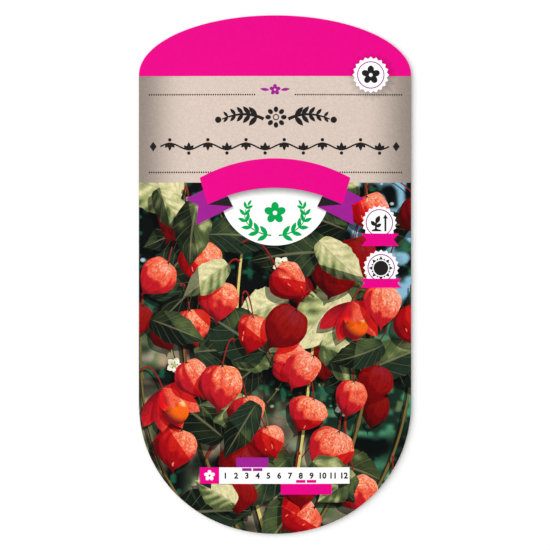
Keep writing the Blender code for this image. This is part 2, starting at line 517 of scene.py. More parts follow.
def linenInk():
    # a printed picture of raw linen: weft, warp, darker slubs and grain
    finish = Finish("linen_print", 0.55)
    printStock(finish)
    share = 1.0
    for noise, stretch, band in (((1000, 3, 0.6), (0.9, 5.5, 1), (0.3, 0.7, -0.06, 0.06)),
                                 ((1000, 3, 0.6), (5.5, 0.9, 1), (0.3, 0.7, -0.05, 0.05)),
                                 ((420, 2, 0.5), (0.5, 4, 1), (0.62, 0.8, 0.0, -0.07)),
                                 ((2600, 2, 0.7), None, (0.3, 0.7, -0.05, 0.05))):
        share = finish.plus(finish.band(finish.noise(*noise, stretch=stretch), *band), share)
    return finish.wear(finish.scaled(finish.printed(), share))


ribs = 10  # round each lantern


def lanternInk():
    # ribs and a net of veins along the papery lantern, in its own angles and lengths
    finish = Finish("lantern_print", 0.5)
    printStock(finish)
    angle, along, _ = finish.node("SeparateXYZ", finish.local()).outputs
    papery = finish.stretched(finish.local(), (4.6, 8.5, 3.0))
    fromRib = finish.offMiddle(finish.maths("FRACT", finish.times(angle, ribs / math.tau)))
    pleat = finish.band(fromRib, 0.12, 0.5, 0.9, 1.09)
    mottle = finish.band(finish.noise(2.4, 3, 0.6, where=papery), 0.3, 0.7, 0.84, 1.12)
    share = finish.times(finish.times(pleat, finish.veins(papery, 0.09, 0.86, 1.0)), mottle)
    colour = finish.scaled(finish.printed(), share)
    rib = finish.times(finish.band(fromRib, 0.0, 0.11, 1.0, 0.0), finish.band(along, 0.0, 0.12, 0.0, 0.26))
    colour = finish.mixed(rib, colour, finish.scaled(colour, 1.8))
    lit = finish.band(finish.green(), 0.03, 0.14)
    crease = finish.offMiddle(finish.noise(1.3, 4, 0.65, where=papery))
    patches = finish.noise(1.9, 4, 0.7, where=papery)
    colour = finish.mixed(finish.times(lit, finish.band(patches, 0.5, 0.4, 0.0, 0.6)), colour, inks["lantern"])
    shine = finish.plus(finish.band(crease, 0.0, 0.05, 0.55, 0.0), finish.band(patches, 0.5, 0.64, 0.0, 0.75))
    return finish.wear(finish.mixed(finish.times(lit, shine), colour, inks["lanternShine"]))


def leafInk():
    # a midrib with pairs of side veins, in the leaf's own widths and lengths
    finish = Finish("leaf_print", 0.5)
    printStock(finish)
    aside, along, _ = finish.node("SeparateXYZ", finish.local()).outputs
    across = finish.maths("ABSOLUTE", aside)
    slant = finish.maths("SUBTRACT", finish.times(along, 5.2), finish.times(finish.maths("POWER", across, 0.8), 1.9))
    fromVein = finish.offMiddle(finish.maths("FRACT", slant))
    vein = finish.maths("MAXIMUM", finish.band(across, 0.02, 0.08, 1.0, 0.0),
                        finish.band(fromVein, 0.0, 0.06, 0.6, 0.0))
    puff = finish.band(fromVein, 0.05, 0.5, 0.93, 1.05)
    mottle = finish.band(finish.noise(2.6, 3, 0.6, finish.local(), (1.5, 3, 2)), 0.3, 0.7, 0.84, 1.14)
    colour = finish.scaled(finish.printed(), finish.times(puff, mottle))
    pale = finish.mixed(0.3, finish.scaled(colour, 1.6), inks["leafSun"])
    veinColour = finish.mixed(finish.band(finish.green(), 0.2, 0.5), pale, finish.scaled(colour, 0.5))
    colour = finish.scaled(colour, finish.veins(finish.stretched(finish.local(), (7, 11, 3)), 0.12, 0.86, 1.03))
    return finish.wear(finish.mixed(finish.times(vein, 0.5), colour, veinColour))


def plantInk():
    # stems, berries, petals and the out-of-focus bed behind them
    finish = Finish("garden_print", 0.5)
    printStock(finish)
    grain = finish.band(finish.noise(1500, 3, 0.6), 0.25, 0.75, 0.9, 1.1)
    return finish.wear(finish.scaled(finish.printed(), grain))


def paperCore():
    # bare paper: cut edge and inner faces
    finish = Finish("bare_paper", 0.8, 0.2)
    fibre = finish.noise(1800, 4, 0.65, stretch=(1, 2.6, 1))
    finish.relief(fibre, 0.25, 0.0002)
    return finish.wear(finish.mixed(finish.band(fibre, 0.3, 0.7), ink(238, 234, 226), ink(250, 248, 243)))


def seedCoat():
    finish = Finish("seed_coat", 0.6, 0.3)
    pits = finish.node("TexVoronoi", finish.place, None, 5200).outputs["Distance"]
    finish.relief(pits, 0.5, 0.0001)
    brown = finish.mixed(finish.band(finish.noise(420, 3, 0.6), 0.3, 0.7), ink(196, 150, 88), ink(150, 104, 52))
    # darker brown at the bottom of each pit: painted shade in the dimples of the coat
    return finish.wear(finish.mixed(finish.band(pits, 0.0, 0.5, 0.4, 0.0), brown, ink(92, 60, 30)))


materials = {make.__name__: make() for make in (flatInk, linenInk, lanternInk, leafInk, plantInk, paperCore)}
print("finishes mixed:", len(materials) + 1)


# Garden picture: lanterns on branching stems over an out-of-focus bed

picture = {
    "top": 28.35,
    "sun": (0.54, 0.6, 0.59),  # towards the light, in the picture
    "dust": 0.6,
    "shadow": (0.25, 0.27, 0.28),  # what a hard shadow leaves of the colour under it
    "deepShadow": (0.1, 0.11, 0.13),
    "faintShadow": (0.8, 0.62, 0.6),
    "shadowSlide": (-1.4, -1.9),
    "lanternLength": 13.6,
    "lanternWidth": 12.9,
    "rowPitch": 12.4,
    "columnPitch": 15.4,
    "seed": 41,
    "glints": 170,
    "farLeaves": 20,
    "twigs": 34,
    "farLanterns": 9,  # in the shade behind
    "openHusks": (14, 22),
    "blossoms": ((-31, -28), (21, -41), (2, 3)),
    "deepFrom": 0.7,  # a higher value leaves fewer lanterns in full shade
}


def gardenBed(x, y):
    # near-black shade, out-of-focus foliage and sky in places, and a pale path low on the left
    def lumps(size, seed, low, high):
        return smooth(low, high, cloud(x, y, size, seed))

    foliage = layered("thicket", ("haze", lumps(2.3, 15, 0.35, 0.8)), ("grass", lumps(1.7, 18, 0.6, 0.85) * 0.6))
    path = layered("soil", ("grass", lumps(6, 13, 0.2, 0.8)), ("stone", lumps(3.4, 16, 0.5, 0.9) * 0.6),
                   ("thicket", lumps(4.2, 14, 0.35, 0.8) * 0.85)) * (1 - 0.45 * smooth(-60, -78, y))[:, None]
    return layered(
        "night", ("thicket", smooth(0.58, 0.9, cloud(x, y, 9, 3) * 0.65 + cloud(x, y, 4, 4) * 0.35)),
        ("spot", lumps(1.7, 9, 0.6, 0.8) * lumps(11, 10, 0.45, 0.62) * 0.8),
        (foliage, smooth(26, 50, x - 0.6 * y) * lumps(7, 19, 0.25, 0.55)),
        ("distance", lumps(3.4, 8, 0.52, 0.7) * smooth(24, 34, x + 0.4 * y) * smooth(-24, -8, y) * 0.9),
        (path, smooth(-34, -56, y + 0.7 * x) * lumps(9, 12, 0.15, 0.45) * 0.8))


sun = np.array(picture["sun"]) / np.linalg.norm(picture["sun"])


def axes(angle):
    # the directions across and along a form that is turned by an angle
    return np.array([[math.cos(angle), math.sin(angle)], [-math.sin(angle), math.cos(angle)]])


def measured(x, y, place, angle):
    # how far points lie across and along such a form
    return axes(angle) @ np.stack([x - place[0], y - place[1]])


def localOf(frameOf, seed, across=lambda t: t):
    # the coordinates that a form's veins follow, set apart from its neighbours' by a seed
    def local(x, y):
        s, t = frameOf(x, y)
        return np.stack([across(t), s, np.full(len(x), seed)], 1)
    return local


def castShadow(art, outline, share, depth="shadow"):
    art.shade(outline + np.array(picture["shadowSlide"]) * share, picture[depth])


def clipped(outline, normal, reach):
    # the part of an outline beyond a straight line
    kept = []
    points = [np.array(p, float) for p in outline]
    for here, after in zip(points, points[1:] + points[:1]):
        a, b = here @ normal - reach, after @ normal - reach
        if a > 0:
            kept.append(here)
        if (a > 0) != (b > 0):
            kept.append(here + (after - here) * (a / (a - b)))
    return kept


def crossShadow(art, outline, place, draw, reach):
    # the hard straight shadow that something nearer the sun throws across a form
    turn = math.atan2(-sun[1], -sun[0]) + draw.uniform(-1.0, 1.0)
    normal = axes(turn)[0]
    part = clipped(outline, normal, normal @ place + reach)
    if len(part) > 2:
        art.shade(part, picture["shadow"])


def lanternProfile(s):
    # half width along the lantern, from its stalk at 0 to the flick at its tip at 1
    s = np.clip(s, 0, 1)
    top = np.sqrt(np.clip(1 - (1 - np.minimum(s / 0.4, 1)) ** 2.6, 0, 1))
    body = top * (1 - np.clip((s - 0.4) / 0.53, 0, 1) ** 2.0) ** 1.12
    return np.maximum(body, smooth(0.7, 0.9, s) * np.minimum(0.07, 1 - s))


def lanternOutline(length, width, draw):
    s = np.concatenate([np.linspace(0, 0.12, 6), np.linspace(0.17, 0.86, 15), np.linspace(0.9, 1, 5)])
    wobble = np.interp(s, (0, 0.25, 0.5, 0.75, 1), [draw.uniform(0.9, 1.1) for _ in range(5)])
    bow, flick = draw.uniform(-0.09, 0.09) * width, draw.uniform(-0.08, 0.08) * width
    half = width / 2 * lanternProfile(s) * wobble
    middle = bow * np.sin(math.pi * s) + flick * smooth(0.8, 1.0, s)
    # the shoulders stand a little higher than the stalk between them
    high = draw.uniform(0.02, 0.09) * length * np.exp(-((s - 0.06) / 0.06) ** 2) - length * s
    return np.concatenate([np.stack([middle + half, high], 1), np.stack([middle - half, high], 1)[-2:0:-1]])


glintDraw = random.Random(8)  # draws of their own, so that glints move nothing else


def addLantern(art, place, angle, size, draw, dim=0.0, shaded=False, crossed=False):
    length = picture["lanternLength"] * size * draw.uniform(0.9, 1.12)
    width = picture["lanternWidth"] * size * draw.uniform(0.86, 1.1)
    outline = turned(lanternOutline(length, width, draw), angle, place)
    castShadow(art, outline, size)
    seed = draw.random() * 40
    roll = draw.uniform(-0.3, 0.3)
    glow = draw.uniform(-0.24, 0.1)
    warmth = draw.uniform(0.2, 1.0)
    across, stalkward = axes(angle)

    def frameOf(x, y):
        aside, up = measured(x, y, place, angle)
        s = np.clip(-up / length, 0, 1)
        return s, np.clip(aside / np.maximum(width / 2 * lanternProfile(s), 0.3), -1, 1)

    def bulge(t):
        return np.arcsin(t * 0.97)

    def colour(x, y):
        s, t = frameOf(x, y)
        ripple = bulge(t) + 0.24 * np.sin(ribs * (bulge(t) + roll))
        rise = np.clip((0.42 - s) * 1.9, -0.88, 0.92)
        level = np.sqrt(1 - rise**2)
        normal = (across * (np.sin(ripple) * level)[:, None]) + stalkward * rise[:, None]
        light = normal @ sun[:2] + np.cos(ripple) * level * sun[2]
        light = light + glow + 0.34 * (cloud(x, y, 2.2, int(seed) + 60) - 0.5)
        return tones(light, "lanternDeep", ("lanternShade", -0.55, -0.05, 1), ("lantern", 0.26, 0.42, 1),
                     ("lanternWarm", 0.5, 0.8, smooth(0.7, 0.1, s) * warmth),
                     ("lanternLight", 0.72, 1.1, 0.7)) * (1 - dim)

    art.add(outline, colour, "lanternInk", localOf(frameOf, seed, lambda t: bulge(t) + roll))
    if shaded:
        art.shade(outline, picture["deepShadow"])
    elif crossed:
        crossShadow(art, outline, place - stalkward * length * 0.45, draw, draw.uniform(-0.2, 0.2) * width)
    for k in range(2 if crossed and not shaded else 0):  # glints, where light slips past the shadow
        s, t = glintDraw.uniform(0.35, 0.8), glintDraw.uniform(-0.6, 0.4)
        middle = place - stalkward * length * s + across * t * width / 2 * lanternProfile(s)
        reach = glintDraw.uniform(0.4, 1.0) * size
        art.add(turned(circle(0, 0, 0.19, reach, count=10), angle + t * (0.45 - s), middle), "glint")
    cap = np.array([(-0.7, -0.9), (0, 0.6), (0.7, -0.9), (0, -0.3)]) * size
    art.add(turned(cap, angle, place), inks["stemShade"] * (1 - dim))


openHusk = {
    "petal": 14,
    "petalWide": 13.5,
    "berry": 4.2,
    "berryDrop": 8.2,
    "behind": ((-0.95, 0.0), (0.95, 0.25), (-0.5, 0.1), (0.5, 0.3), (0.0, 0.15)),  # each petal's lean and brightness
    "before": ((-0.42, 0.2), (0.42, 0.5), (0.0, 0.35)),
}


def addOpenHusk(art, place, angle, size, draw):
    # a ripe round berry between the parted points of its husk
    length, width, radius, drop = (openHusk[key] * size for key in ("petal", "petalWide", "berry", "berryDrop"))
    centre = turned([(0, -drop)], angle, place)[0]
    seed = draw.random() * 40

    def addPetal(lean, reach, wide, bright, depth):
        heading = angle + lean
        outline = turned(leaflet(-reach, -wide * 1.15, 0.62, 10), heading, place)

        def frameOf(x, y):
            aside, up = measured(x, y, place, heading)
            return np.clip(-up / reach, 0, 1), np.clip(aside / wide, -1, 1)

        def colour(x, y):
            s, t = frameOf(x, y)
            light = bright + 0.3 * s + 0.35 * t * math.cos(heading) + 0.2 * (cloud(x, y, 2.2, 17) - 0.5)
            return tones(light, "lanternDeep", ("lanternShade", -0.1, 0.3, 1), ("lantern", 0.3, 0.6, 1),
                         ("lanternLight", 0.75, 1.15, 0.7))

        castShadow(art, outline, 0.7, depth)
        art.add(outline, colour, "lanternInk", localOf(frameOf, seed, lambda t: t * 1.1))

    for lean, bright in openHusk["behind"]:
        addPetal(lean + draw.uniform(-0.08, 0.08), length * draw.uniform(0.92, 1.04), width * 0.36, bright, "shadow")
    art.shade(circle(centre[0] - 0.7, centre[1] - 0.9, radius * 1.03), picture["shadow"])

    def berry(x, y):
        nx, ny = (x - centre[0]) / radius, (y - centre[1]) / radius
        light = nx * sun[0] + ny * sun[1] + np.sqrt(np.clip(1 - nx**2 - ny**2, 0, 1)) * sun[2]
        return tones(light, "lanternDeep", ("berry", -0.15, 0.6, 1), ("berryLight", 0.93, 1.0, 0.9))

    art.add(circle(*centre, radius), berry)
    for lean, bright in openHusk["before"]:
        addPetal(lean, length * 0.52, width * 0.24, bright, "faintShadow")


def leafWidth(v):
    # half width along a leaf, from its stalk at 0 to its drawn-out tip at 1
    v = np.clip(v, 0, 1)
    return np.sin(math.pi * v**0.72) ** 0.82 * (1 - 0.3 * smooth(0.62, 1, v))


def leafOutline(length, width, curl, waves, phase, steps=34):
    # a broad pointed leaf with a shallow waved edge
    v = np.linspace(0, 1, steps)
    edge = 1 + (0.04 * np.sin(v * math.tau * waves + phase) + 0.025 * np.sin(v * math.tau * waves * 2.3)) \
        * np.sin(math.pi * v)
    half = width / 2 * leafWidth(v)
    bow = curl * length * v**2
    lift = 0.07 * length * np.exp(-((v - 0.06) / 0.07) ** 2)
    right = np.stack([bow + half * edge, v * length - lift], 1)
    left = np.stack([bow - half * edge[::-1], v * length - lift], 1)[-2:0:-1]
    return np.concatenate([right, left])


def pastRim(point):
    # whether a point lies near or beyond the rounded bottom
    drop = (dieCut.bottom + dieCut.bottomCap - point[1]) / dieCut.bottomCap
    return drop > 0 and drop**2 + (point[0] / dieCut.halfWidth) ** 2 > 0.7


def addLeaf(art, place, angle, length, width, sunny, draw, curl=0.0, dim=0.0, crossed=False):
    seed = draw.random() * 40
    outline = turned(leafOutline(length, width, curl, draw.choice((3, 4, 5)), seed), angle, place)
    castShadow(art, outline, 0.9)
    across, forward = axes(angle)
    if any(pastRim(place + forward * length * share) for share in (0, 0.5, 1)):
        sunny = min(sunny, 0.3)  # a pale leaf would blur the cut edge
    litSide = 1 if across @ sun[:2] > 0 else -1
    fold = draw.uniform(0.05, 0.3)

    def frameOf(x, y):
        aside, up = measured(x, y, place, angle)
        s = np.clip(up / length, 0, 1)
        return s, np.clip((aside - curl * length * s**2) / np.maximum(width / 2 * leafWidth(s), 0.3), -1.2, 1.2)

    def colour(x, y):
        s, t = frameOf(x, y)
        puckers = 0.1 * np.sin(5.2 * math.tau * (s - 0.24 * np.abs(t)))
        blotch = 0.5 - 0.24 * smooth(0.6, 0.8, sunny)
        light = sunny + fold * np.tanh(litSide * t * 9) + blotch * (cloud(x, y, 3.4, int(seed) + 20) - 0.5)
        light = light + puckers * smooth(0.2, 0.6, sunny) - 0.1 * s - 0.12 * smooth(0.6, 1.0, np.abs(t))
        return tones(light, "leafShade", ("leaf", 0.0, 0.4, 1), ("leafPale", 0.4, 0.62, 1),
                     ("leafSun", 0.6, 0.9, 1)) * (1 - dim)

    art.add(outline, colour, "leafInk", localOf(frameOf, seed))
    if crossed:
        crossShadow(art, outline, place + forward * length * 0.5, draw, draw.uniform(-0.25, 0.25) * width)


def addStem(art, line, thick, light="stem", dark="stemShade", nodes=0):
    line = np.array(line)
    widths = np.linspace(thick, thick * 0.6, len(line))
    for k in range(nodes):  # a swollen joint where each leaf and fruit grows
        widths[(k + 1) * len(line) // (nodes + 1)] *= 1.45
    outline = strip(line, widths)
    castShadow(art, outline, 0.6)
    art.add(outline, dark)
    art.add(strip(line + np.array([0.13, 0.1]) * thick, widths * 0.6), light)


def addBlossom(art, place, size, draw):
    turn = draw.random() * math.tau
    art.shade(circle(place[0] - 0.7, place[1] - 0.9, size * 0.8, count=20), picture["shadow"])
    for k in range(5):
        art.add(turned(leaflet(size, -size * 0.75, 0.55, 8), turn + k * math.tau / 5, place),
                lambda x, y: blendInks("petalShade", "petal", smooth(0.25, 0.6, cloud(x, y, 1.2, 33))))
    art.add(circle(*place, size * 0.26, count=16), "leafPale")
    for k in range(5):
        middle = place + axes(turn + (k + 0.5) * math.tau / 5)[0] * size * 0.36
        art.add(circle(*middle, size * 0.09, count=8), "stem")


# Stems fan out from below the picture and everything hangs on them: the curve, width and ink of each
stems = [
    ((-8, -84), (-36, -44), (-27, 34), 1.5, "stem"), ((-2, -84), (-20, -30), (-6, 32), 1.7, "stemSun"),
    ((3, -84), (12, -36), (15, 30), 1.6, "stemSun"), ((8, -84), (38, -46), (27, 34), 1.5, "stem"),
    ((-14, -84), (-46, -64), (-41, -8), 1.2, "stem"), ((15, -84), (46, -62), (42, -4), 1.3, "stem"),
    ((-21.4, -56.6), (-11, -40), (-10, -6), 0.9, "stalk"), ((22.3, -57.4), (19, -30), (30, -4), 0.9, "stalk"),
]
# Leaves in front of the fruit: where each starts, its turn and how sunny it is
frontLeaves = [
    ((-15, 3), 2.2, 0.84), ((14, 10), -2.4, 0.8), ((-38, -14), -1.9, 0.14), ((33, -22), 2.0, 0.2),
    ((-6, -40), 2.6, 0.08), ((12, -58), -2.2, 0.86), ((-36, 26), -2.6, 0.7), ((-24, 22), 2.9, 0.4),
]
# Two more, with their lengths and widths too, pale enough for the calendar's folds to show on them
foldLeaves = [((-12.5, -70.5), 1.05, 14, 9.5, 0.8), ((24.5, -62), 2.2, 14, 9.5, 0.55)]


def fruitSites(draw):
    # a loose brick pattern, with gaps, and none where the label covers it
    sites = []
    for row in range(9):
        y = 25 - row * picture["rowPitch"]
        for column in range(7):
            x = -46 + (column + (0.5 if row % 2 else 0)) * picture["columnPitch"] + draw.uniform(-4.2, 4.2)
            high = y + draw.uniform(-4.2, 4.2)
            skipped = draw.random() < (0.16 if row < 5 else 0.36) or (row < 2 and draw.random() < 0.4)
            if abs(x) < 46 and not skipped and not (abs(x) < 15 and high > 14):
                sites.append((x, high))
    return sites


def addGlints(art, draw, count):
    # soft out-of-focus spots, in three steps each
    for k in range(count):
        x, y = draw.uniform(-42, 42), draw.uniform(-78, 28)
        high = "speck" if y > -22 and draw.random() < 0.6 else draw.choice(("spot", "haze", "leafPale"))
        size = draw.uniform(0.3, 1.0)
        if cloud(x, y, 12, 22) > 0.42 and y + 0.7 * x > -44:
            for grow, share in ((1.3, 0.75), (1.0, 0.45), (0.6, 0.2)):
                art.add(circle(x, y, size * grow, size * grow * 0.8, count=12), lambda x, y, high=high, share=share:
                        blendInks(high, gardenBed(x, y), np.full(len(x), share)))


def paintGarden(art):
    draw = random.Random(picture["seed"])
    between = draw.uniform
    art.dust(dustHalf, -dustTop, picture["top"], picture["dust"])
    addGlints(art, random.Random(5), picture["glints"])
    for k in range(picture["farLeaves"]):
        addLeaf(art, (between(-42, 42), between(-78, 26)), between(-2.8, 2.8), between(13, 20), between(9, 13),
                between(-0.2, 0.3), draw, between(-0.2, 0.2), dim=0.45)
    for k in range(picture["twigs"]):
        start = np.array([between(-42, 42), between(-78, 26)])
        reach = np.array([between(-7, 7), between(4, 11)])
        line = bend(start, start + reach * 0.5 + (between(-2, 2), 0), start + reach, 7)
        art.add(strip(line, np.linspace(0.5, 0.2, 7)), draw.choice(("stemShade", "leaf", "lanternDeep", "stem")))
    for k in range(picture["farLanterns"]):
        addLantern(art, (between(-40, 40), between(-68, 20)), between(-0.8, 0.8), 0.74, draw, dim=0.2, shaded=True)
    lines = [bend(*stem[:3], count=40) for stem in stems]
    for line, (*_, thick, light) in zip(lines, stems):
        addStem(art, line, thick, light, nodes=4)
    sites = fruitSites(draw)
    for x, y in sites:  # leaves behind the fruit
        if draw.random() < 0.66:
            side = draw.choice((-1, 1))
            addLeaf(art, (x + side * 3, y + 3), side * between(-2.5, -0.5), between(16, 25), between(11, 17),
                    draw.choice((0.02, 0.1, 0.2, 0.56, 0.84)), draw, side * between(0, 0.22),
                    crossed=draw.random() < 0.5)
    for place in picture["blossoms"]:
        addBlossom(art, place, between(2.4, 2.9), draw)
    sites.sort(key=lambda site: site[1] + between(-9, 9))
    for number, (x, y) in enumerate(sites):
        line = lines[min(range(len(lines)), key=lambda k: np.abs(lines[k] - (x, y + 5)).sum(1).min())]
        joint = line[np.argmin(np.hypot(line[:, 0] - x, line[:, 1] - y - 6))]
        addStem(art, bend(joint, ((joint[0] + x) / 2, max(joint[1], y) + 3.5), (x, y), 10), 0.65,
                "stalk", "lanternDeep")
        angle = (x - joint[0]) * 0.07 + between(-0.7, 0.7)
        if number in picture["openHusks"]:
            addOpenHusk(art, (x, y), angle * 0.5, between(0.92, 1.02), draw)
        else:
            deep = cloud(x, y, 13, 77) + between(-0.16, 0.16) > picture["deepFrom"]
            addLantern(art, (x, y), angle, between(0.84, 1.1), draw, shaded=deep, crossed=draw.random() < 0.6)
    for place, angle, sunny in frontLeaves:
        addLeaf(art, place, angle, between(14, 20), between(9, 12), sunny, draw, between(-0.2, 0.2), crossed=True)
    for leaf in foldLeaves:
        addLeaf(art, *leaf, draw)


# Label: cap, linen band, rules and ornaments

label = {
    "capLow": 61.2,
    "linenLow": 28.35,
    "ruleHigh": 55.47,
    "ruleLow": 31.5,
    "dotPitch": 0.7,
    "dot": (0.245, 0.285),
    "ruleLeft": -38.75,
    "ruleRight": 39.0,
    "ruleGap": 6.3,
    "dust": 1.8,
    "flower": ((0, 57.0), 1.75),
    "flourish": ((0.3, 48.5), 18.8),
    "border": (-37.6, 37.4, 39.5),
    "topSeal": ((29.55, 61.6), 5.65),
    "sproutSeal": ((32.2, 15.95), 5.45),
    "sprout": (32.2, 16.1),
    "sunSeal": ((32.75, 2.1), 5.58),
    "sun": (32.67, 2.0),
    "banners": ((26.63, 8.83, 38.22, 12.67), (26.4, -4.05, 39.05, -1.25)),
    "wreath": ((0, 18.4), 9.3, 6.4),
}


def linenGround(x, y):
    near = np.abs(x) / dieCut.halfWidth
    return blendInks("linen", "linenEdge", smooth(0.6, 1.0, near) ** 1.4 * 0.95)


def band(low, high):
    # from edge to edge of the sheet
    return box(-packet["inkHalf"], low, packet["inkHalf"], high)


def dottedRule(art, x0, x1, y, name="black"):
    count = int(round((x1 - x0) / label["dotPitch"]))
    for k in range(count + 1):
        art.add(circle(x0 + (x1 - x0) * k / count, y, *label["dot"], count=8, turn=math.pi / 8), name)


def flower(art, place, radius, name, petals=5, heart="linen"):
    wide = radius * min(0.44, 1.72 / petals)
    for k in range(petals):
        art.add(turned(circle(0, radius - wide * 1.25, wide, wide * 1.25, count=20), k * math.tau / petals, place),
                name)
    art.add(circle(*place, radius * 0.3, count=14), name)
    art.add(circle(*place, radius * 0.2, count=14), heart)


scrollShape = {
    "rosette": 3.3,
    "width": (1.05, 0.4),
    "knob": 1.0,
    "leaf": 3.9,
    "taper": 0.42,  # how much shorter each pair of leaves is than the pair before it
    "slim": 0.41,  # a leaf's width for its length
    "lean": 0.85,
}


def flourish(art, middle, reach, name="black"):
    # a rosette between two tapering scrolls with paired leaves
    s = scrollShape
    flower(art, middle, s["rosette"], name, petals=8)
    for side in (-1, 1):
        line = bend((side * 3.8, -0.6), (side * reach * 0.5, 2.4), (side * (reach - 2.2), -0.6), 24) + middle
        art.add(strip(line, np.linspace(*s["width"], 24)), name)
        art.add(circle(middle[0] + side * (reach - s["knob"]), middle[1] - 0.8, s["knob"], count=18), name)
        for k, at in enumerate(line[4:21:4]):
            size = s["leaf"] - s["taper"] * k
            for tilt in (-1, 1):
                art.add(turned(leaflet(size, size * s["slim"]), -side * (1.57 - tilt * s["lean"]), at), name)


def runningBorder(art, x0, x1, y, name="black"):
    # a waved stem with a leaf in every hollow and a berry on every crest
    waves = 12
    xs = np.linspace(x0 + 2.2, x1 - 2.2, waves * 10 + 1)
    line = np.stack([xs, y + 0.95 * np.sin((xs - xs[0]) / (xs[-1] - xs[0]) * math.pi * waves)], 1)
    art.add(strip(line, 0.5), name)
    for k, at in enumerate(line[5::10]):
        up = 1 if k % 2 else -1
        for lean, length in ((-0.75, 2.2), (0.0, 2.6), (0.75, 2.2)):
            art.add(turned(leaflet(length, 1.15), (0 if up > 0 else math.pi) + lean, at + (0, -0.3 * up)), name)
        art.add(circle(at[0], at[1] - 1.1 * up, 0.55, count=12), name)
    for x in (x0, x1):
        art.add([(x - 1.1, y), (x, y - 1.5), (x + 1.1, y), (x, y + 1.5)], name)


seal = {"teeth": 20, "tooth": 0.65, "ring": 4.08, "ringHalf": 0.15}


def toothedSeal(art, place, tip):
    tips, hollows = (circle(*place, reach, count=seal["teeth"] * 2) for reach in (tip, tip - seal["tooth"]))
    rim = [(hollows if k % 2 else tips)[k] for k in range(len(tips))]
    art.softShade(rim, (0.45, -0.5), (0.58, 0.56, 0.58), steps=5, grow=0.8)
    art.add(rim, "white")
    for side, name in ((1, "purple"), (-1, "white")):
        art.add(circle(*place, seal["ring"] + side * seal["ringHalf"], count=60), name)


def bareBanner(art, x0, y0, x1, y1):
    # a swallow-tailed strip
    notch, middle = (y1 - y0) * 0.43, (y0 + y1) / 2
    outline = [(x0, y0), (x1, y0), (x1 - notch, middle), (x1, y1), (x0, y1), (x0 + notch, middle)]
    art.softShade(outline, (0.2, -0.25), (0.7, 0.66, 0.7))
    art.add(outline, "magenta")


ribbonShape = {
    "halfTop": 23.25,
    "endTop": 29.8,
    "crest": 35.8,
    "halfLow": 20.75,
    "endLow": 21.6,
    "crestLow": 26.7,
    "tail": ((-22.0, 26.1), (-27.6, 23.3), (-23.6, 21.4), (-24.3, 15.25), (-12.95, 20.95), (-14.5, 24.1)),
    "fold": ((-20.75, 21.6), (-14.5, 24.1), (-12.95, 20.95)),
    "shade": 2.95,  # how far its shadow reaches down the white oval
    "shadeFrom": -0.4,
    "shadeDepth": 0.7,
}


def ribbonEdge(x, side):
    # height of the ribbon's lower or upper edge, an arc through its two ends and its crest
    half, end = ribbonShape["half" + side], ribbonShape["end" + side]
    crest = ribbonShape["crestLow" if side == "Low" else "crest"]
    radius = (half**2 + (crest - end) ** 2) / (2 * (crest - end))
    return crest - radius + np.sqrt(radius**2 - np.minimum(np.abs(x), half) ** 2)


def ribbon(art):
    # an arched ribbon with a folded tail on each side
    low, high = ribbonShape["halfLow"], ribbonShape["halfTop"]
    front = [(x, ribbonEdge(x, "Low")) for x in np.linspace(-low, low, 40)]
    front += [(x, ribbonEdge(x, "Top")) for x in np.linspace(high, -high, 40)]
    for outline in (ribbonShape["tail"], mirrored(ribbonShape["tail"])):
        art.softShade(outline, (0.2, -0.5), (0.55, 0.5, 0.55))
        art.add(outline, "purple")
    for outline in (ribbonShape["fold"], mirrored(ribbonShape["fold"])):
        art.add(outline, "black")
    art.add(front, "magenta")


def medallion(art):
    # a white oval that hangs under the ribbon
    wide, deep, middle, peak = 16.8, 15.75, 24.7, 36
    outline = [(-wide * math.cos(a), middle - deep * math.sin(a)) for a in np.linspace(0, math.pi, 60)]
    outline += [tuple(p) for p in bend((wide, middle), (0, peak), (-wide, middle), 20)[1:-1]]
    art.softShade(outline, (0.35, -0.5), (0.5, 0.5, 0.5), steps=5, grow=0.6)
    art.dust(wide + 0.2, 20, 27, 0.4)

    def underRibbon(x, y):
        dark = smooth(ribbonShape["shade"], ribbonShape["shadeFrom"], ribbonEdge(x, "Low") - y)
        return inks["white"] * (1 - ribbonShape["shadeDepth"] * dark)[:, None]

    art.add(outline, underRibbon)


def wreath(art, middle, rx, ry):
    # two sprays of leaves round a flower
    cx, cy = middle
    for side in (-1, 1):
        arc = np.array([(cx + side * rx * math.sin(a), cy - ry * math.cos(a)) for a in np.linspace(0.12, 2.0, 30)])
        art.add(strip(arc, np.linspace(0.5, 0.2, 30)), "green")

        def addSprig(at, ahead, size, wide, lean=0.0):
            heading = math.atan2(ahead[1], ahead[0]) - math.pi / 2
            art.add(turned(leaflet(size, wide), heading + lean, at), "green")

        for k in range(6):
            at, size = 2 + k * 5, 3.7 - 0.26 * k
            for lean in (-0.7, 0.7):
                addSprig(arc[at], arc[at + 1] - arc[at], size, size * 0.4, lean)
        addSprig(arc[-1], arc[-1] - arc[-2], 2.4, 0.8)
    flower(art, (cx, cy + 0.6), 3.4, "green", heart="white")


def sproutPictogram(art, place):
    # a seedling on its mound, beside an arrow that points up
    def drawn(outline, angle=0.0, x=0.0, y=0.0):
        art.add(turned(outline, angle, (place[0] + x, place[1] + y)), "black")

    drawn([(-2.35, -2.75), (0.6, -2.75), (0.6, -2.4), (-0.3, -2.15), (-0.7, -1.95), (-1.4, -1.95), (-1.8, -2.15),
           (-2.35, -2.4)])
    drawn(strip([(-1.1, -2.3), (-1.1, -1.1), (-0.9, 0.2)], 0.58))
    for length, width, *spot in ((2.1, 1.25, 0.78, -1.2, -1.05), (1.9, 1.1, -0.95, -0.95, -1.5),
                                 (2.7, 1.45, -0.42, -1.05, -0.35)):
        drawn(leaflet(length, width), *spot)
    drawn(box(1.57, -2.75, 2.15, 1.4))
    drawn([(1.06, 1.2), (2.66, 1.2), (1.86, 2.5)])


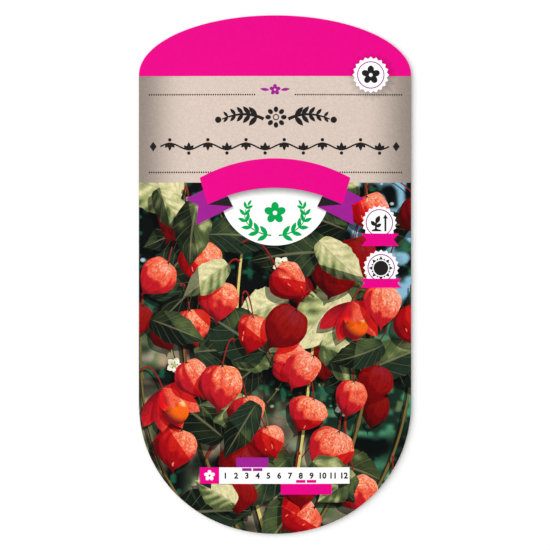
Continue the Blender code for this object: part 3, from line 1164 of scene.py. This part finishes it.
def sunPictogram(art, place):
    # a disc with large and small rays by turns
    art.add(circle(*place, 2.28, count=40), "black")
    for k in range(16):
        half, low, high = (0.65, 2.62, 3.75) if k % 2 == 0 else (0.37, 2.6, 3.22)
        art.add(turned([(-half, low), (half, low), (0, high)], math.tau * k / 16, place), "black")


def numberOutlines(value, size, place):
    # a plain number, as small filled pieces
    text = bpy.data.curves.new("number", "FONT")
    text.body = str(value)
    text.size = size
    text.resolution_u = 3
    text.offset = 0.1  # bold
    text.align_x = text.align_y = "CENTER"
    holder = placed("number", text)
    mesh = bpy.data.meshes.new_from_object(holder.evaluated_get(bpy.context.evaluated_depsgraph_get()))
    corners = [(v.co.x + place[0], v.co.y + place[1]) for v in mesh.vertices]
    pieces = [[corners[v] for v in polygon.vertices] for polygon in mesh.polygons
              if polygon.area > 1e-4]  # a face of no area would fill the whole sheet
    bpy.data.objects.remove(holder)
    bpy.data.curves.remove(text)
    bpy.data.meshes.remove(mesh)
    return pieces


calendar = {
    "boxLeft": -23.2,
    "stripLeft": -17.2,
    "right": 23.0,
    "low": -64.5,
    "high": -59.43,
    "firstMonth": -15.3,
    "monthPitch": 3.32,
    "digitSize": 2.5,
    "digitsLower": 0.12,
    "sowBar": (-11.95, -2.05),
    "sowHigh": 3.08,
    "flowerBar": (1.8, 17.5),
    "flowerDeep": 3.35,
    "tuck": 0.3,  # how far bars and folds reach under the strip
    "tick": (2.95, 0.93),
    "tickInset": (0.2, 0.28),
    "foldDeep": 1.65,
    "foldWide": 3.5,
}


def calendarStrip(art, lift=0.0):
    # numbered months, with a bar beside the months to sow and to flower
    c, tuck = calendar, calendar["tuck"]
    left, inner, right, low, high = c["boxLeft"], c["stripLeft"], c["right"], c["low"] + lift, c["high"] + lift
    (sow, sowEnd), (bloom, bloomEnd), (wide, deep) = c["sowBar"], c["flowerBar"], c["tick"]
    months = [c["firstMonth"] + month * c["monthPitch"] for month in range(12)]
    art.softShade(box(left, low, right, high), (0.2, -0.3), (0.6, 0.6, 0.6))
    for edge, fold in ((left, left + c["foldWide"]), (right, right - c["foldWide"])):
        art.add([(edge, low + tuck), (fold, low + tuck), (fold, low - c["foldDeep"]), (edge, low - 0.1)], "black")
    art.add(box(sow, high - tuck, sowEnd, high + c["sowHigh"]), "purple")
    art.add(box(bloom, low - c["flowerDeep"], bloomEnd, low + tuck), "magenta")
    art.add(box(inner, low, right, high), "white")
    art.add(box(left, low, inner, high), "magenta")
    for ticked, y, name in ((months[2:4], high - c["tickInset"][0] - deep, "purple"),
                            (months[7:9], low + c["tickInset"][1], "magenta")):
        for x in ticked:
            art.add(box(x - wide / 2, y, x + wide / 2, y + deep), name)
    for number, x in enumerate(months, 1):
        for piece in numberOutlines(number, c["digitSize"], (x, (low + high) / 2 - c["digitsLower"])):
            art.add(piece, "black")
    flower(art, ((left + inner) / 2, (low + high) / 2), 1.7, "white", heart="magenta")


def paintLabel(art):
    art.slot = "flatInk"
    art.dust(dustHalf, label["linenLow"], dustTop, label["dust"])
    art.add(band(label["linenLow"], label["capLow"]), linenGround, "linenInk")
    art.add(band(label["capLow"], packet["inkTop"]), "magenta")
    dottedRule(art, label["ruleLeft"], -label["ruleGap"], label["ruleHigh"])
    dottedRule(art, label["ruleGap"], label["ruleRight"], label["ruleHigh"])
    dottedRule(art, label["ruleLeft"], label["ruleRight"], label["ruleLow"])
    flower(art, *label["flower"], "purple")
    for side in (-1, 1):
        art.add(turned(leaflet(3.0, 0.95), -side * 1.45, (side * 1.7, 56.9)), "purple")
    flourish(art, *label["flourish"])
    runningBorder(art, *label["border"])
    toothedSeal(art, *label["topSeal"])
    flower(art, label["topSeal"][0], 2.9, "black", heart="white")
    medallion(art)
    ribbon(art)
    wreath(art, *label["wreath"])
    for name, sign, banner in zip(("sprout", "sun"), (sproutPictogram, sunPictogram), label["banners"]):
        toothedSeal(art, *label[name + "Seal"])
        sign(art, label[name])
        bareBanner(art, *banner)
    calendarStrip(art)


frontArt = Print(gardenBed, "plantInk")
paintGarden(frontArt)
paintLabel(frontArt)
print("front artwork laid out")

frontSheet = printedSheet("printed_front_sheet", frontArt, frontOuter, frontInner)
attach(frontSheet, "root")
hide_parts("front_sheet")


# Plain back: the same cap over linen, and a white panel with signs, ruled lines, a row of seedlings and months

backPanel = {
    "half": 32.0,
    "low": -46.0,
    "high": 50.0,
    "corner": 5.0,
    "signs": 39.0,
    "signPitch": 19.0,
    "firstLine": 27.5,
    "linePitch": 5.5,
    "lines": 6,
    "soil": -19.0,
    "seedlingPitch": 12.5,
    "calendarLift": 27.0,
    "seal": 5.5,  # from its middle to its teeth's tips
    "edge": 0.35,
    "lineHalf": 27,
    "soilDeep": 0.5,
    "seedlings": 5,
    "arrowLow": 2.6,
    "arrowLine": (4.2, 0.14),  # half its length and width
    "arrowHead": (5.2, 3.8, 0.7),  # tip, foot and half width
    "lowRule": (-26, 26, -52),
    "flourish": ((0, -60.5), 15),
}


def roundedBox(half, low, high, corner, steps=8):
    points = []
    for cx, cy, start in ((half - corner, high - corner, 0), (-half + corner, high - corner, 1),
                          (-half + corner, low + corner, 2), (half - corner, low + corner, 3)):
        for k in range(steps + 1):
            turn = (start + k / steps) * math.pi / 2
            points.append((cx + corner * math.cos(turn), cy + corner * math.sin(turn)))
    return points


def dropPictogram(art, place):
    # a drop of water
    side = [(0.0, 2.9), (0.75, 1.5), (1.5, 0.2), (1.75, -0.8), (1.45, -1.9), (0.75, -2.55), (0.0, -2.75)]
    art.add(turned(side + mirrored(side)[1:-1], 0, place), "black")
    art.add(turned(leaflet(1.7, 0.5), -0.35, (place[0] + 0.55, place[1] - 1.7)), "white")


def seedling(art, x, y, name="green"):
    art.add(strip(bend((x, y), (x + 0.3, y + 2.5), (x, y + 4.6), 10), np.linspace(0.55, 0.35, 10)), name)
    for angle, length, high in ((1.15, 3.4, 2.3), (-1.15, 3.4, 2.0), (0.6, 2.7, 4.3), (-0.6, 2.7, 4.3)):
        art.add(turned(leaflet(length, length * 0.48), angle, (x, y + high)), name)


def paintBack(art):
    p = backPanel
    art.slot = "flatInk"
    art.dust(dustHalf, -dustTop, dustTop, label["dust"])
    art.add(band(label["capLow"], packet["inkTop"]), "magenta")
    dottedRule(art, label["ruleLeft"], label["ruleRight"], label["ruleHigh"])
    for rim, name in ((p["edge"], "purple"), (0, "white")):
        art.add(roundedBox(p["half"] + rim, p["low"] - rim, p["high"] + rim, p["corner"] + rim), name)
    for k, sign in enumerate((sproutPictogram, sunPictogram, dropPictogram)):
        place = ((k - 1) * p["signPitch"], p["signs"])
        toothedSeal(art, place, p["seal"])
        sign(art, place)
    for k in range(p["lines"]):
        dottedRule(art, -p["lineHalf"], p["lineHalf"], p["firstLine"] - k * p["linePitch"], "purple")
    art.add(box(-p["lineHalf"], p["soil"] - p["soilDeep"], p["lineHalf"], p["soil"]), "black")
    for k in range(p["seedlings"]):
        seedling(art, (k - (p["seedlings"] - 1) / 2) * p["seedlingPitch"], p["soil"])
    y = p["soil"] - p["arrowLow"]
    (half, line), (tip, foot, wide) = p["arrowLine"], p["arrowHead"]
    for k in range(p["seedlings"] - 1):  # arrows between the seedlings
        middle = (k - p["seedlings"] / 2 + 1) * p["seedlingPitch"]
        art.add(box(middle - half, y - line, middle + half, y + line), "magenta")
        for side in (-1, 1):
            art.add([(middle + side * tip, y), (middle + side * foot, y + wide), (middle + side * foot, y - wide)],
                    "magenta")
    calendarStrip(art, p["calendarLift"])
    dottedRule(art, *p["lowRule"])
    flourish(art, *p["flourish"])


backArt = Print(linenGround, "linenInk")
paintBack(backArt)
backSheet = printedSheet("printed_back_sheet", backArt, backOuter, backInner, mirror=True)
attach(backSheet, "root")
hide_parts("back_sheet")

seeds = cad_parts["seeds"]
coat = seedCoat()
for slot in seeds.material_slots:
    slot.material = coat
print("seeds coated")


# Table, light and camera

studio = {
    "tableSize": 3.0,
    "tableDrop": 0.02,  # just clear of the packet's flat back, so the two faces don't fight
    "keyEnergy": 38.0,
    "keySize": 2.4,
    "keyPlace": (-0.95, 0.6, 1.75),
    "skyStrength": 0.56,
    "lens": 120.0,
    "millimetresToPixel": 84 / 273,
    "frameWide": 550,
    "middle": (0.0, -0.13),  # where the frame's centre falls on the packet
}


def tableFinish():
    finish = Finish("pale_table", 0.75, 0.1)
    grain = finish.noise(240, 3, 0.5)
    return finish.wear(finish.mixed(finish.band(grain, 0.3, 0.7), ink(252, 252, 252), ink(254, 254, 254)))


def makeTable():
    half, z = studio["tableSize"] / 2, -studio["tableDrop"] * mm
    mesh = bpy.data.meshes.new("table")
    mesh.from_pydata([(x, y, z) for x, y in box(-half, -half, half, half)], [], [(0, 1, 2, 3)])
    mesh.materials.append(tableFinish())
    table = placed("table", mesh)


def makeLight():
    lamp = bpy.data.lights.new("key", "AREA")
    lamp.energy = studio["keyEnergy"]
    lamp.size = studio["keySize"]
    key = placed("key", lamp)
    key.location = studio["keyPlace"]
    key.rotation_euler = (-Vector(studio["keyPlace"])).to_track_quat("-Z", "Y").to_euler()
    world = bpy.data.worlds.new("studio")
    world.use_nodes = True
    sky = world.node_tree.nodes["Background"]
    sky.inputs["Color"].default_value = (1, 1, 1, 1)
    sky.inputs["Strength"].default_value = studio["skyStrength"]
    bpy.context.scene.world = world


def makeCamera():
    lens = bpy.data.cameras.new("camera")
    lens.lens = studio["lens"]
    across = studio["frameWide"] * studio["millimetresToPixel"] * mm
    camera = placed("camera", lens)
    camera.location = (studio["middle"][0] * mm, studio["middle"][1] * mm,
                       across * lens.lens / lens.sensor_width + sheetHigh.z)
    bpy.context.scene.camera = camera


makeTable()
makeLight()
makeCamera()
bpy.context.scene.view_settings.view_transform = "Standard"
print("studio set")
